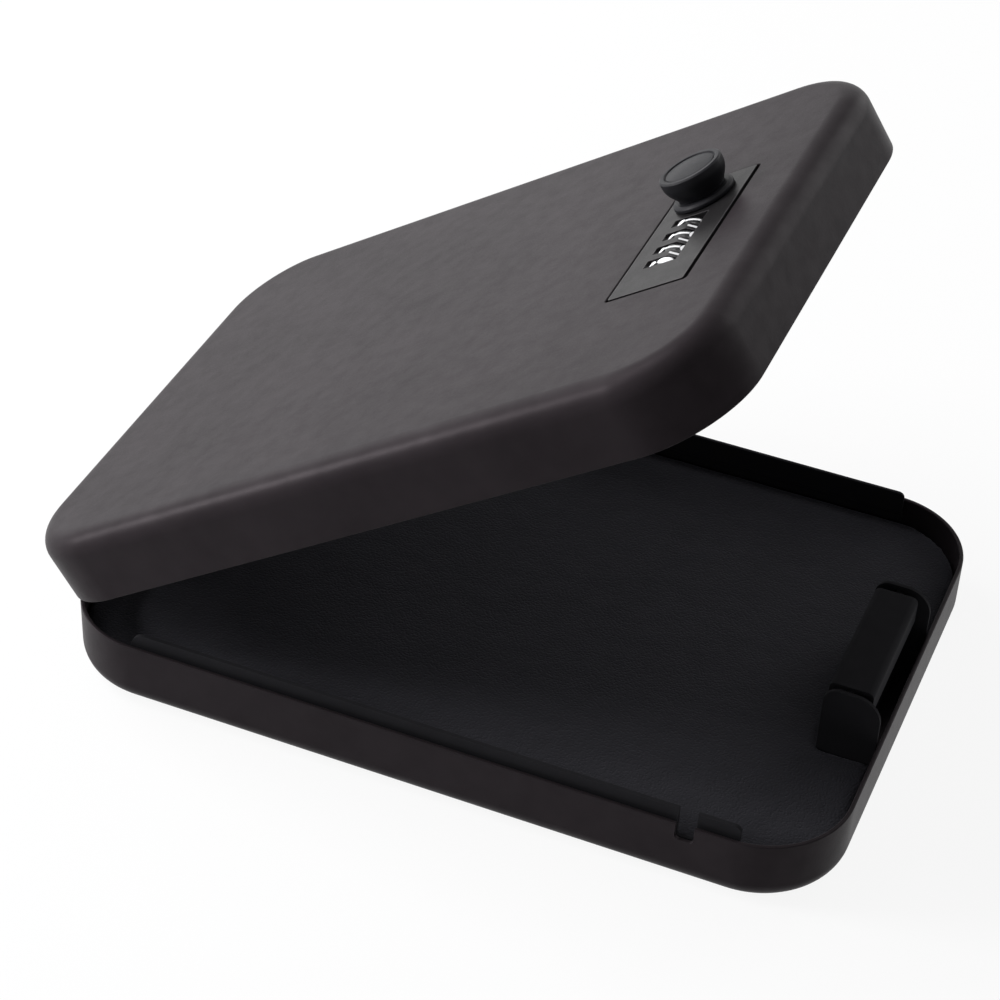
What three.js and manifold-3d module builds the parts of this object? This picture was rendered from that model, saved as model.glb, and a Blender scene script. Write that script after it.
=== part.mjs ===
// Portable car safe with its lid ajar: two drawn steel shells on a rear hinge, a four-wheel combination
// lock with a turning knob in the lid, and a strike bracket for the lock's cam in the base.
// Millimetres. The origin is the centre of the base's underside, +X points to the lock edge,
// +Y to the far long side and +Z up. The lid's pieces are drawn closed and swung open by one group.
import * as THREE from "three";
import { mergeVertices } from "three/addons/utils/BufferGeometryUtils.js";
import Module from "manifold-3d";

const wasm = await Module();
wasm.setup();

// Shells
const caseLength = 241.3;
const caseWidth = 168;
const caseHeight = 44.5;
const rimGap = 0.3; // between the two rims when the lid is shut
const cornerRadius = 27.5;
const edgeFillet = 7;
const sheet = 1.3;
const openAngle = THREE.MathUtils.degToRad(33.84);
const fitGap = 0.3; // between two fixed pieces that touch
const runGap = 0.3; // between a moving piece and its neighbour

// Foam liners
const foamRivetGap = 0.56; // below the inner heads of the hinge rivets
const lidFoamThickness = 6;
const foamSideGap = 0.4;

// Rear hinge
const hingeLength = 100;
const knuckleCount = 7;
const knuckleRadius = 1.9;
const knuckleWallGap = 0.1;
const pinRadius = 0.95;
const pinClearance = 0.08;
const leafThickness = 1;
const leafHeight = 7.2;
const leafRivets = 4;
const rivetEndInset = 11; // from the leaf's ends to the first and last rivet
const rivetShankRadius = 1.25;
const rivetHeadRadius = 2.1;
const rivetHeadHeight = 0.9;
const rivetHoleGap = 0.2;

// Alignment strips along the long walls
const stripThickness = 1.2;
const stripStandOff = 0.8; // from the wall, above the welded foot
const stripRise = 3.6; // above the rim plane
const stripFootHeight = 3.4;
const stripRearRadius = 4.5;
const stripFrontRadius = 2;
const stripRearSetback = 27.05; // from the case's rear end
const stripFrontSetback = 25.35; // from its front end

// Notch for a cable loop in the near rim and in the strip behind it
const notchSetback = 40.65; // from the case's front end
const notchWidth = 5.6;
const notchDepth = 5.8;
const notchRadius = 1.4;

// Strike bracket and its bar
const strikeWallGap = 0.5; // to the front wall's inner face
const strikeDepth = 17.35;
const strikeLength = 54;
const strikeShift = 0.1; // of its middle from the lock's
const strikeRise = 14.25; // above the rim plane
const strikeSheet = 1.3;
const strikeFootDepth = 20;
const earRearRadius = 4.5;
const earFrontRadius = 8;
const barWidth = 13.4;
const barInset = 0.4; // of the bar from the ears' rear edge
const barDrop = 0.5; // of the bar's top below the ears'
const barSheet = 1.5;
const barEdgeRadius = 2;
const barEndGap = 2.5;
const barCamGap = 1.1; // between the cam and the bar's lower edges
const tenonRadius = 1.6;
const tenonGap = 0.2; // round the cross rod in its holes
const tenonDepth = 0.8; // of the blind holes in the ears
const tenonOverlap = 0.4; // of the cross rod with the bar's top sheet

// Lock opening in the lid and the plate in it
const lockSetback = 34.1; // of the plate's middle from the case's front end
const lockY = -2.1;
const openingWidth = 26.1;
const openingLength = 62.6;
const openingRadius = 1;
const plateSideGap = 1; // along the plate's long sides
const plateEndGap = 0.4;
const plateProud = 0.2;
const plateRadius = 0.6;

// Number wheels
const wheelCount = 4;
const wheelAxisOffset = 2.05; // behind the plate's middle
const firstWheelOffset = 15.2; // to the near side of it
const wheelPitch = 7.4;
const wheelWidth = 3.5;
const wheelRadius = 7.6;
const wheelDrop = 0.1; // of the wheels' tops below the plate's
const wheelNotches = 10;
const wheelNotchDepth = 0.35;
const sleeveRadius = 4.4;
const gateDepth = 0.8;
const axleRadius = 1.9;
const axleClearance = 0.1;
const axleSeat = 3; // of the axle's far end in the case
const windowRearReach = 4.3; // from the wheels' axis
const windowFrontReach = 6.5;
const windowRelief = 0.6; // a wider step on the plate's underside, clear of the wheels
const windowReliefDepth = 0.5;
const webDepth = 4.1; // of the plate's webs below its top
const webSlopeReach = 2.1; // from the wheels' axis to where the plate's webs start to slope
const webSlope = 34; // degrees
const webRelief = 0.15; // the case's webs stay this far inside the wheels' rims

// Lock case
const lockCaseWidth = 25.1;
const caseWall = 1.5;
const flangeReach = 10.3; // beyond the case at both ends
const flangeSideReach = 3; // beyond its long sides, past the lid's opening
const flangeThickness = 1.5;
const wheelFloorGap = 1.5;
const webShoulder = 3.8; // height of the webs beside the wheels
const coverThickness = 1.2;
const studRadius = 2;
const studLength = 7;
const nutAcrossFlats = 7;
const nutHeight = 3.2;
const screwShankRadius = 1.3;
const screwHeadRadius = 2.4;
const screwHeadHeight = 1.2;
const screwLength = 6;
const screwInset = 4; // from the case's long sides
const screwEndInset = 3.2; // from its ends
const fenceThickness = 2;
const fenceHeight = 6;
const detentThickness = 0.5;
const detentHeight = 5;

// Code-change lever
const leverTravel = 3;
const leverNeckWidth = 2.6;
const leverNeckLength = 2;
const leverHeadWidth = 9;
const leverHeadLength = 5;
const leverHeadHeight = 1.8;
const leverPocketHeight = 6.4;
const leverSlotMargin = 0.5; // the cover's slot ends before the pocket does

// Knob, spindle and cam
const knobSetback = 0.95; // behind the plate's middle
const knobOffset = 19.9; // to the far side of it
const collarRadius = 9.3;
const collarHeight = 1.7;
const sleeveOuterRadius = 6;
const sleeveLength = 13;
const spindleRadius = 3.6;
const spindleClearance = 0.1;
const knobTop = 10; // above the lid's top face
const knobRadius = 9.5;
const knobRimHeight = 2;
const knobWaistRadius = 7.2;
const knobWaistHeight = 0.4;
const knobDishRadius = 7.9;
const knobDishDepth = 0.6;
const knobDiscCrown = 0.45;
const knobBoreDepth = 5.6;
const camWidth = 9;
const camReach = 26;
const camThickness = 2.4;
const camSquare = 5;
const camWasherRadius = 4.6;
const camWasherThickness = 0.8;
const camNutAcrossFlats = 7;
const camNutHeight = 2.6;
const threadRadius = 2;

// Facets of round shapes
const cornerSteps = 10;
const filletSteps = 5;
const roundSides = 40;
const smallSides = 16;

// Planes and axes that follow from the sizes above
const frontWallInner = caseLength / 2 - sheet;
const rearWallOuter = -caseLength / 2;
const sideWallInner = caseWidth / 2 - sheet;
const rimPlane = caseHeight / 2;
const baseRim = rimPlane - rimGap / 2;
const lidRim = rimPlane + rimGap / 2;
const lidInner = caseHeight - sheet;
const innerFillet = Math.max(edgeFillet - sheet, 0.5);
const hingeX = rearWallOuter - knuckleWallGap - knuckleRadius;
const hingeZ = rimPlane;
const rivetDrop = knuckleRadius + runGap + leafHeight / 2;
const baseFoamTop = hingeZ - rivetDrop - rivetHeadRadius * 0.9 - foamRivetGap;
const stripRear = rearWallOuter + stripRearSetback;
const stripFront = caseLength / 2 - stripFrontSetback;
const notchX = caseLength / 2 - notchSetback;
const lockX = caseLength / 2 - lockSetback;
const strikeFront = frontWallInner - strikeWallGap;
const strikeRear = strikeFront - strikeDepth;
const strikeNearY = lockY + strikeShift - strikeLength / 2;
const strikeFarY = strikeNearY + strikeLength;
const strikeTop = rimPlane + strikeRise;
const barRear = strikeRear + barInset;
const barTop = strikeTop - barDrop;
const plateTop = caseHeight + plateProud;
const wheelAxisX = lockX - wheelAxisOffset;
const firstWheelY = lockY - firstWheelOffset;
const knobX = lockX - knobSetback;
const knobY = lockY + knobOffset;
const wheelAxisZ = plateTop - wheelDrop - wheelRadius;
const lastWheelY = firstWheelY + (wheelCount - 1) * wheelPitch;
const webThickness = wheelPitch - wheelWidth - 2 * runGap;
const plateHalfWidth = openingWidth / 2 - plateSideGap;
const caseHalfWidth = lockCaseWidth / 2;
const caseNearY = lockY - openingLength / 2 + plateEndGap;
const caseFarY = lockY + openingLength / 2 - plateEndGap;
const caseTop = lidInner - fitGap;
const caseBottom = wheelAxisZ - wheelRadius - wheelFloorGap;
const coverTop = caseBottom - fitGap;
const coverBottom = coverTop - coverThickness;
const camTop = coverBottom - runGap;
const camBottom = camTop - camThickness;
const rowStart = firstWheelY - wheelWidth / 2 - runGap;
const rowEnd = lastWheelY + wheelWidth / 2 + runGap;
const pocketNearY = rowStart - webThickness;
const webPlaces = Array.from(
  { length: wheelCount - 1 },
  (_, i) => rowStart + wheelWidth + 2 * runGap + i * wheelPitch,
);

// The closed mesh as a solid that can be cut and joined
function solid(geometry) {
  const bare = new THREE.BufferGeometry();
  bare.setAttribute("position", geometry.getAttribute("position").clone());
  if (geometry.index) bare.setIndex(geometry.index.clone());
  const merged = mergeVertices(bare, 1e-4);
  return new wasm.Manifold(
    new wasm.Mesh({
      numProp: 3,
      vertProperties: new Float32Array(merged.attributes.position.array),
      triVerts: new Uint32Array(merged.index.array),
    }),
  );
}

function geometryOf(made) {
  const mesh = made.getMesh();
  const geometry = new THREE.BufferGeometry();
  geometry.setAttribute("position", new THREE.BufferAttribute(mesh.vertProperties, 3));
  geometry.setIndex(new THREE.BufferAttribute(mesh.triVerts, 1));
  const flat = geometry.toNonIndexed();
  flat.computeVertexNormals();
  return flat;
}

function join(...geometries) {
  return geometryOf(geometries.map(solid).reduce((all, next) => all.add(next)));
}

function cut(geometry, ...tools) {
  return geometryOf(tools.map(solid).reduce((left, tool) => left.subtract(tool), solid(geometry)));
}

function box(x0, x1, y0, y1, z0, z1) {
  const made = new THREE.BoxGeometry(x1 - x0, y1 - y0, z1 - z0);
  return made.translate((x0 + x1) / 2, (y0 + y1) / 2, (z0 + z1) / 2);
}

// A round bar along Z from z0 to z1
function post(x, y, radius, z0, z1, sides = smallSides) {
  const made = new THREE.CylinderGeometry(radius, radius, z1 - z0, sides);
  return made.rotateX(Math.PI / 2).translate(x, y, (z0 + z1) / 2);
}

// A round bar along Y from y0 to y1
function rod(x, z, radius, y0, y1, sides = smallSides) {
  const made = new THREE.CylinderGeometry(radius, radius, y1 - y0, sides);
  return made.translate(x, (y0 + y1) / 2, z);
}

// A shape in the XY plane, raised from z0 to z1
function slab(shape, z0, z1, curveSegments = 8) {
  const made = new THREE.ExtrudeGeometry(shape, { depth: z1 - z0, bevelEnabled: false, curveSegments });
  return made.translate(0, 0, z0);
}

// A shape drawn in X and Z, running from y0 to y1
function panel(shape, y0, y1, curveSegments = 8) {
  const made = new THREE.ExtrudeGeometry(shape, { depth: y1 - y0, bevelEnabled: false, curveSegments });
  return made.rotateX(Math.PI / 2).translate(0, y1, 0);
}

// A turned piece about the vertical line through x and y, from a closed outline of [radius, height]
function turned(outline, x, y, sides = roundSides) {
  const made = new THREE.LatheGeometry(outline.map(([r, z]) => new THREE.Vector2(r, z)), sides);
  return made.rotateX(Math.PI / 2).translate(x, y, 0);
}

function roundedRectangle(x0, x1, y0, y1, radius) {
  const shape = new THREE.Shape();
  shape.absarc(x1 - radius, y1 - radius, radius, 0, Math.PI / 2);
  shape.absarc(x0 + radius, y1 - radius, radius, Math.PI / 2, Math.PI);
  shape.absarc(x0 + radius, y0 + radius, radius, Math.PI, Math.PI * 1.5);
  shape.absarc(x1 - radius, y0 + radius, radius, Math.PI * 1.5, Math.PI * 2);
  shape.closePath();
  return shape;
}

function hexagon(x, y, acrossFlats) {
  const radius = acrossFlats / Math.sqrt(3);
  const corners = Array.from({ length: 6 }, (_, i) => {
    const angle = (i * Math.PI) / 3;
    return new THREE.Vector2(x + radius * Math.cos(angle), y + radius * Math.sin(angle));
  });
  return new THREE.Shape(corners);
}

// One level of the case's outline, drawn in by inset, at height z
function caseRing(inset, z) {
  const halfLength = caseLength / 2 - inset;
  const halfWidth = caseWidth / 2 - inset;
  const radius = Math.max(cornerRadius - inset, 1);
  const ring = [];
  [[1, 1], [-1, 1], [-1, -1], [1, -1]].forEach(([sx, sy], corner) => {
    for (let i = 0; i <= cornerSteps; i++) {
      const angle = (corner + i / cornerSteps) * (Math.PI / 2);
      const x = sx * (halfLength - radius) + radius * Math.cos(angle);
      const y = sy * (halfWidth - radius) + radius * Math.sin(angle);
      ring.push([x, y, z]);
    }
  });
  return ring;
}

// Rings of one quarter-round edge, from the flat face at z to the wall beside it
function filletRings(inset, z, radius, up) {
  return Array.from({ length: filletSteps + 1 }, (_, i) => {
    const angle = (i / filletSteps) * (Math.PI / 2);
    return caseRing(inset + radius * (1 - Math.sin(angle)), z + up * radius * (1 - Math.cos(angle)));
  });
}

// Skins a stack of rings and closes its first and last ring with flat faces
function loft(rings, flip = false) {
  const count = rings[0].length;
  const positions = rings.flat(2);
  const indices = [];
  const face = (a, b, c) => indices.push(...(flip ? [a, c, b] : [a, b, c]));
  for (let level = 0; level < rings.length - 1; level++) {
    for (let i = 0; i < count; i++) {
      const next = (i + 1) % count;
      const [a, b] = [level * count + i, level * count + next];
      face(a, b, b + count);
      face(a, b + count, a + count);
    }
  }
  const last = (rings.length - 1) * count;
  const centres = positions.length / 3;
  positions.push(0, 0, rings[0][0][2], 0, 0, rings.at(-1)[0][2]);
  for (let i = 0; i < count; i++) {
    const next = (i + 1) % count;
    face(centres, next, i);
    face(centres + 1, last + i, last + next);
  }
  const made = new THREE.BufferGeometry();
  made.setAttribute("position", new THREE.Float32BufferAttribute(positions, 3));
  made.setIndex(indices);
  return made;
}

// A drawn pan: up from its flat outer face to the rim, over it and down to the inner floor.
// side is 1 for the base, which stands on its face, and -1 for the lid.
function pan(face, rim, side) {
  const outer = filletRings(0, face, edgeFillet, side);
  const inner = filletRings(sheet, face + side * sheet, innerFillet, side).reverse();
  const rings = [...outer, caseRing(0, rim), caseRing(sheet, rim), ...inner];
  return loft(rings, side < 0);
}

function liner(face, top, side) {
  const inset = sheet + foamSideGap;
  const edge = Math.min(innerFillet, Math.abs(top - face) * 0.96);
  const rings = [...filletRings(inset, face, edge, side), caseRing(inset, top)];
  return loft(rings, side < 0);
}

// Places along the hinge
const rivetSpacing = (hingeLength - 2 * rivetEndInset) / (leafRivets - 1);
const rivetPlaces = Array.from({ length: leafRivets }, (_, i) => (i - (leafRivets - 1) / 2) * rivetSpacing);

function rivetHoles(z) {
  const radius = rivetShankRadius + rivetHoleGap;
  const reach = sheet + leafThickness + 2;
  return rivetPlaces.map((y) =>
    new THREE.CylinderGeometry(radius, radius, 2 * reach, smallSides)
      .rotateZ(Math.PI / 2)
      .translate(rearWallOuter, y, z),
  );
}

// side is 1 for the leaf on the lid and -1 for the one on the base
function hingeLeaf(side, firstKnuckle) {
  const inner = rearWallOuter - fitGap;
  const outer = inner - leafThickness;
  const near = hingeZ + side * (knuckleRadius + runGap);
  const far = near + side * leafHeight;
  const tongue = hingeZ + side * knuckleRadius * 0.4;
  const half = hingeLength / 2;
  const pieces = [box(outer, inner, -half, half, Math.min(near, far), Math.max(near, far))];
  const pitch = (hingeLength + runGap) / knuckleCount;
  for (let i = firstKnuckle; i < knuckleCount; i += 2) {
    const y0 = -half + i * pitch;
    const y1 = y0 + pitch - runGap;
    pieces.push(rod(hingeX, hingeZ, knuckleRadius, y0, y1));
    pieces.push(box(outer, inner, y0, y1, Math.min(near, tongue), Math.max(near, tongue)));
  }
  const bore = rod(hingeX, hingeZ, pinRadius + pinClearance, -half - 1, half + 1);
  return cut(join(...pieces), bore, ...rivetHoles(hingeZ + side * rivetDrop));
}

function hingePin() {
  const half = hingeLength / 2;
  return join(
    rod(hingeX, hingeZ, pinRadius, -half - 1, half + 1),
    rod(hingeX, hingeZ, pinRadius * 1.6, half + runGap, half + runGap + 1),
    rod(hingeX, hingeZ, pinRadius * 1.6, -half - runGap - 1, -half - runGap),
  );
}

// A rivet through the leaf and the wall, with a domed head outside and a flat one inside
function rivet(y, z) {
  const outside = fitGap + leafThickness + fitGap;
  const inside = sheet + fitGap;
  const outline = [
    [0, outside + rivetHeadHeight],
    [rivetHeadRadius * 0.6, outside + rivetHeadHeight * 0.8],
    [rivetHeadRadius, outside],
    [rivetShankRadius, outside],
    [rivetShankRadius, -inside],
    [rivetHeadRadius * 0.9, -inside],
    [rivetHeadRadius * 0.8, -inside - rivetHeadHeight * 0.6],
    [0, -inside - rivetHeadHeight * 0.6],
  ];
  const made = turned(outline.reverse(), 0, 0, smallSides);
  return made.rotateY(-Math.PI / 2).translate(rearWallOuter, y, z);
}

// The cable's slot, open at the top, through what lies between y0 and y1
function cableSlot(y0, y1, top) {
  const half = notchWidth / 2;
  const above = top + notchDepth;
  return panel(roundedRectangle(notchX - half, notchX + half, baseRim - notchDepth, above, notchRadius), y0, y1);
}

function basePan() {
  return cut(
    geometryOf(solid(pan(0, baseRim, 1))),
    cableSlot(-caseWidth / 2 - 1, -sideWallInner + fitGap / 2, baseRim),
    ...rivetHoles(hingeZ - rivetDrop),
  );
}

function lidPan() {
  const opening = roundedRectangle(
    lockX - openingWidth / 2,
    lockX + openingWidth / 2,
    lockY - openingLength / 2,
    lockY + openingLength / 2,
    openingRadius,
  );
  return cut(
    geometryOf(solid(pan(caseHeight, lidRim, -1))),
    slab(opening, lidInner - 1, caseHeight + 1),
    ...rivetHoles(hingeZ + rivetDrop),
  );
}

// The tray liner, cut away round the strike bracket and over its foot
function baseFoam() {
  const side = foamSideGap;
  const front = caseLength / 2;
  const ears = [strikeNearY - side, strikeFarY + side];
  const footTop = sheet + fitGap + strikeSheet + fitGap;
  return cut(
    liner(sheet + fitGap, baseFoamTop, 1),
    box(strikeRear - side, front, ...ears, 0, baseFoamTop + 1),
    box(strikeRear - strikeFootDepth / 2 - side, front, ...ears, 0, footTop),
  );
}

// The lid liner, cut away round the lock and in front of it
function lidFoam() {
  const top = lidInner - fitGap;
  const rear = lockX - caseHalfWidth - flangeSideReach - 1;
  const near = caseNearY - flangeReach - 2;
  const far = caseFarY + flangeReach + 2;
  return cut(
    liner(top, top - lidFoamThickness, -1),
    box(rear, caseLength / 2, near, far, top - lidFoamThickness - 1, top + 1),
  );
}

// side is -1 for the strip on the near wall and 1 for the one on the far wall
function alignmentStrip(side) {
  const wall = sideWallInner - fitGap;
  const inner = wall - stripThickness;
  const bottom = baseFoamTop + fitGap;
  const joggle = bottom + stripFootHeight;
  const top = rimPlane + stripRise;
  const profile = new THREE.Shape([
    new THREE.Vector2(wall, bottom),
    new THREE.Vector2(wall, joggle),
    new THREE.Vector2(wall - stripStandOff, joggle + stripStandOff),
    new THREE.Vector2(wall - stripStandOff, top),
    new THREE.Vector2(inner - stripStandOff, top),
    new THREE.Vector2(inner - stripStandOff, joggle + stripStandOff / 2),
    new THREE.Vector2(inner, joggle - stripStandOff / 2),
    new THREE.Vector2(inner, bottom),
  ]);
  const length = stripFront - stripRear;
  const bar = new THREE.ExtrudeGeometry(profile, { depth: length, bevelEnabled: false });
  // profile X becomes Y, profile Y becomes Z and the depth becomes X
  bar.applyMatrix4(new THREE.Matrix4().set(0, 0, 1, stripRear, 1, 0, 0, 0, 0, 1, 0, 0, 0, 0, 0, 1));
  // the near strip is drawn on the far wall and turned half round, so its ends change places
  const [first, last] = side > 0 ? [stripRearRadius, stripFrontRadius] : [stripFrontRadius, stripRearRadius];
  const face = new THREE.Shape();
  face.moveTo(stripRear, bottom);
  face.lineTo(stripFront, bottom);
  face.absarc(stripFront - last, top - last, last, 0, Math.PI / 2);
  face.absarc(stripRear + first, top - first, first, Math.PI / 2, Math.PI);
  face.closePath();
  const ends = panel(face, inner - stripStandOff - 1, wall + 1);
  const strip = geometryOf(solid(bar).intersect(solid(ends)));
  if (side > 0) return strip;
  strip.rotateZ(Math.PI).translate(stripRear + stripFront, 0, 0);
  return cut(strip, cableSlot(-sideWallInner, -inner + stripStandOff + 1, top));
}

const rodX = barRear + barWidth / 2;
const rodZ = barTop - barSheet - tenonRadius + tenonOverlap;

// One folded sheet: a foot on the pan's floor and two round-cornered ears with a blind hole each
function strikeBracket() {
  const bottom = sheet + fitGap;
  const toe = innerFillet + fitGap;
  const ear = new THREE.Shape();
  ear.moveTo(strikeRear, bottom);
  ear.lineTo(strikeFront - toe, bottom);
  ear.quadraticCurveTo(strikeFront, bottom, strikeFront, bottom + toe);
  ear.absarc(strikeFront - earFrontRadius, strikeTop - earFrontRadius, earFrontRadius, 0, Math.PI / 2);
  ear.absarc(strikeRear + earRearRadius, strikeTop - earRearRadius, earRearRadius, Math.PI / 2, Math.PI);
  ear.closePath();
  const skin = strikeSheet - tenonDepth;
  const holes = rod(rodX, rodZ, tenonRadius + tenonGap, strikeNearY + skin, strikeFarY - skin);
  return cut(
    join(
      panel(ear, strikeNearY, strikeNearY + strikeSheet, 10),
      panel(ear, strikeFarY - strikeSheet, strikeFarY, 10),
      box(
        strikeRear - strikeFootDepth / 2,
        strikeRear + strikeFootDepth / 2,
        strikeNearY,
        strikeFarY,
        bottom,
        bottom + strikeSheet,
      ),
    ),
    holes,
  );
}

// A channel folded with its open side down, and a cross rod under its top that ends in both ears
function strikeBar() {
  const y0 = strikeNearY + strikeSheet + barEndGap;
  const y1 = strikeFarY - strikeSheet - barEndGap;
  const front = barRear + barWidth;
  const bottom = camTop + barCamGap;
  const section = new THREE.Shape();
  section.moveTo(barRear, bottom);
  section.lineTo(barRear + barSheet, bottom);
  section.lineTo(barRear + barSheet, barTop - barSheet);
  section.lineTo(front - barSheet, barTop - barSheet);
  section.lineTo(front - barSheet, bottom);
  section.lineTo(front, bottom);
  section.absarc(front - barEdgeRadius, barTop - barEdgeRadius, barEdgeRadius, 0, Math.PI / 2);
  section.absarc(barRear + barEdgeRadius, barTop - barEdgeRadius, barEdgeRadius, Math.PI / 2, Math.PI);
  section.closePath();
  const shy = strikeSheet - tenonDepth + tenonGap / 2;
  return join(panel(section, y0, y1, 5), rod(rodX, rodZ, tenonRadius, strikeNearY + shy, strikeFarY - shy));
}

function lockPlate() {
  const outline = roundedRectangle(
    lockX - plateHalfWidth,
    lockX + plateHalfWidth,
    caseNearY,
    caseFarY,
    plateRadius,
  );
  const window = (wider, bottom, top) =>
    box(
      wheelAxisX - windowRearReach - wider,
      wheelAxisX + windowFrontReach + wider,
      rowStart,
      rowEnd,
      bottom,
      top,
    );
  const hole = post(knobX, knobY, sleeveOuterRadius + fitGap, lidInner - 1, plateTop + 1, roundSides);
  const plain = cut(
    slab(outline, lidInner, plateTop, 3),
    window(0, lidInner - 1, plateTop + 1),
    window(windowRelief, lidInner - 1, lidInner + windowReliefDepth),
    hole,
  );
  return join(plain, ...webPlaces.map(plateWeb));
}

// A web of the plate between two wheels: flush with the plate, then sloping down to the front
function plateWeb(y0) {
  const rear = wheelAxisX - windowRearReach - windowRelief - fitGap;
  const front = wheelAxisX + windowFrontReach - runGap;
  const slopeStart = wheelAxisX + webSlopeReach;
  const fall = (front - slopeStart) * Math.tan(THREE.MathUtils.degToRad(webSlope));
  const shape = new THREE.Shape();
  shape.moveTo(rear, plateTop - webDepth);
  shape.lineTo(front, plateTop - webDepth);
  shape.lineTo(front, plateTop - fall);
  shape.lineTo(slopeStart, plateTop);
  shape.lineTo(rear, plateTop);
  shape.closePath();
  return panel(shape, y0, y0 + webThickness);
}

// A wall beside a wheel: low shoulders to the case and a crown that stays inside the wheels' rims
function web(y0, crownTop) {
  const crown = wheelRadius - webRelief;
  const shape = new THREE.Shape();
  shape.moveTo(lockX - caseHalfWidth + 0.5, caseBottom);
  shape.lineTo(lockX + caseHalfWidth - 0.5, caseBottom);
  shape.lineTo(lockX + caseHalfWidth - 0.5, caseBottom + webShoulder);
  shape.lineTo(wheelAxisX + crown, caseBottom + webShoulder);
  shape.absarc(wheelAxisX, wheelAxisZ, crown, 0, Math.PI);
  shape.lineTo(wheelAxisX - crown, caseBottom + webShoulder);
  shape.lineTo(lockX - caseHalfWidth + 0.5, caseBottom + webShoulder);
  shape.closePath();
  const whole = panel(shape, y0, y0 + webThickness, 12);
  const above = box(
    lockX - openingWidth,
    lockX + openingWidth,
    y0 - 1,
    y0 + webThickness + 1,
    crownTop,
    crownTop + openingWidth,
  );
  return cut(whole, above);
}

const screwPlaces = [
  [lockX - caseHalfWidth + screwInset, caseNearY + screwEndInset],
  [lockX + caseHalfWidth - screwInset, caseNearY + screwEndInset],
  [lockX - caseHalfWidth + screwInset, caseFarY - screwEndInset],
  [lockX + caseHalfWidth - screwInset, caseFarY - screwEndInset],
];
const studPlaces = [caseNearY - flangeReach / 2, caseFarY + flangeReach / 2];
const leverPocketFar = pocketNearY - caseWall / 2;
const leverPocketLength = leverNeckLength + leverTravel + 2 * (leverSlotMargin + runGap);
const leverPocketNear = leverPocketFar - leverPocketLength;

// The casting behind the plate: a pocket for the wheels with a web on each side of a wheel,
// a small pocket for the change lever, and a bore for the knob's bushing
function lockCase() {
  const block = box(lockX - caseHalfWidth, lockX + caseHalfWidth, caseNearY, caseFarY, caseBottom, caseTop);
  const flange = roundedRectangle(
    lockX - caseHalfWidth - flangeSideReach,
    lockX + caseHalfWidth + flangeSideReach,
    caseNearY - flangeReach,
    caseFarY + flangeReach,
    3,
  );
  const pocketHalf = caseHalfWidth - caseWall;
  const pocket = box(lockX - pocketHalf, lockX + pocketHalf, pocketNearY, rowEnd, caseBottom - 1, caseTop + 1);
  const leverRoom = box(
    lockX - leverNeckWidth,
    lockX + leverNeckWidth,
    leverPocketNear,
    leverPocketFar,
    caseBottom - 1,
    caseBottom + leverPocketHeight,
  );
  const shell = cut(
    join(block, slab(flange, caseTop - flangeThickness, caseTop)),
    pocket,
    leverRoom,
    post(knobX, knobY, sleeveOuterRadius + fitGap, caseBottom - 1, caseTop + 1, roundSides),
    ...studPlaces.map((y) => post(lockX, y, studRadius + fitGap, caseTop - 4, caseTop + 1)),
    ...screwPlaces.map(([x, y]) => post(x, y, screwShankRadius + fitGap, caseBottom - 1, caseBottom + screwLength)),
  );
  const webs = webPlaces.map((y) => web(y, plateTop - webDepth - fitGap));
  const boreFar = rowEnd + axleSeat + fitGap;
  const bore = rod(wheelAxisX, wheelAxisZ, axleRadius + axleClearance, pocketNearY - caseWall / 3, boreFar);
  return cut(join(shell, web(pocketNearY, caseTop), ...webs), bore);
}

function lockCover() {
  const plate = box(lockX - caseHalfWidth, lockX + caseHalfWidth, caseNearY, caseFarY, coverBottom, coverTop);
  const slotHalf = leverNeckWidth / 2 + runGap;
  return cut(
    plate,
    post(knobX, knobY, spindleRadius + runGap, coverBottom - 1, coverTop + 1),
    box(
      lockX - slotHalf,
      lockX + slotHalf,
      leverPocketNear + leverSlotMargin,
      leverPocketFar - leverSlotMargin,
      coverBottom - 1,
      coverTop + 1,
    ),
    ...screwPlaces.map(([x, y]) => post(x, y, screwShankRadius + fitGap, coverBottom - 1, coverTop + 1)),
  );
}

function coverScrew([x, y]) {
  const seat = coverBottom - fitGap;
  return turned(
    [
      [0, seat - screwHeadHeight],
      [screwHeadRadius * 0.8, seat - screwHeadHeight],
      [screwHeadRadius, seat - screwHeadHeight * 0.5],
      [screwHeadRadius, seat],
      [screwShankRadius, seat],
      [screwShankRadius, caseBottom + screwLength - 1],
      [0, caseBottom + screwLength - 1],
    ],
    x,
    y,
    smallSides,
  );
}

function lockStud(y) {
  return post(lockX, y, studRadius, caseTop - studLength, lidInner - fitGap);
}

function lockNut(y) {
  const top = caseTop - flangeThickness - fitGap;
  const hole = post(lockX, y, studRadius + 0.2, top - nutHeight - 1, top + 1);
  return cut(slab(hexagon(lockX, y, nutAcrossFlats), top - nutHeight, top), hole);
}

const shoulderTop = caseBottom + webShoulder;

// The bar that reads the wheels' notches
function fenceBar() {
  const wallFace = lockX - caseHalfWidth + caseWall + fitGap;
  const wheelFace = wheelAxisX - wheelRadius - fitGap;
  const thickness = Math.min(fenceThickness, wheelFace - wallFace);
  const bottom = shoulderTop + fitGap;
  return box(wallFace, wallFace + thickness, rowStart + 0.5, rowEnd - 0.5, bottom, bottom + fenceHeight);
}

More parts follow.
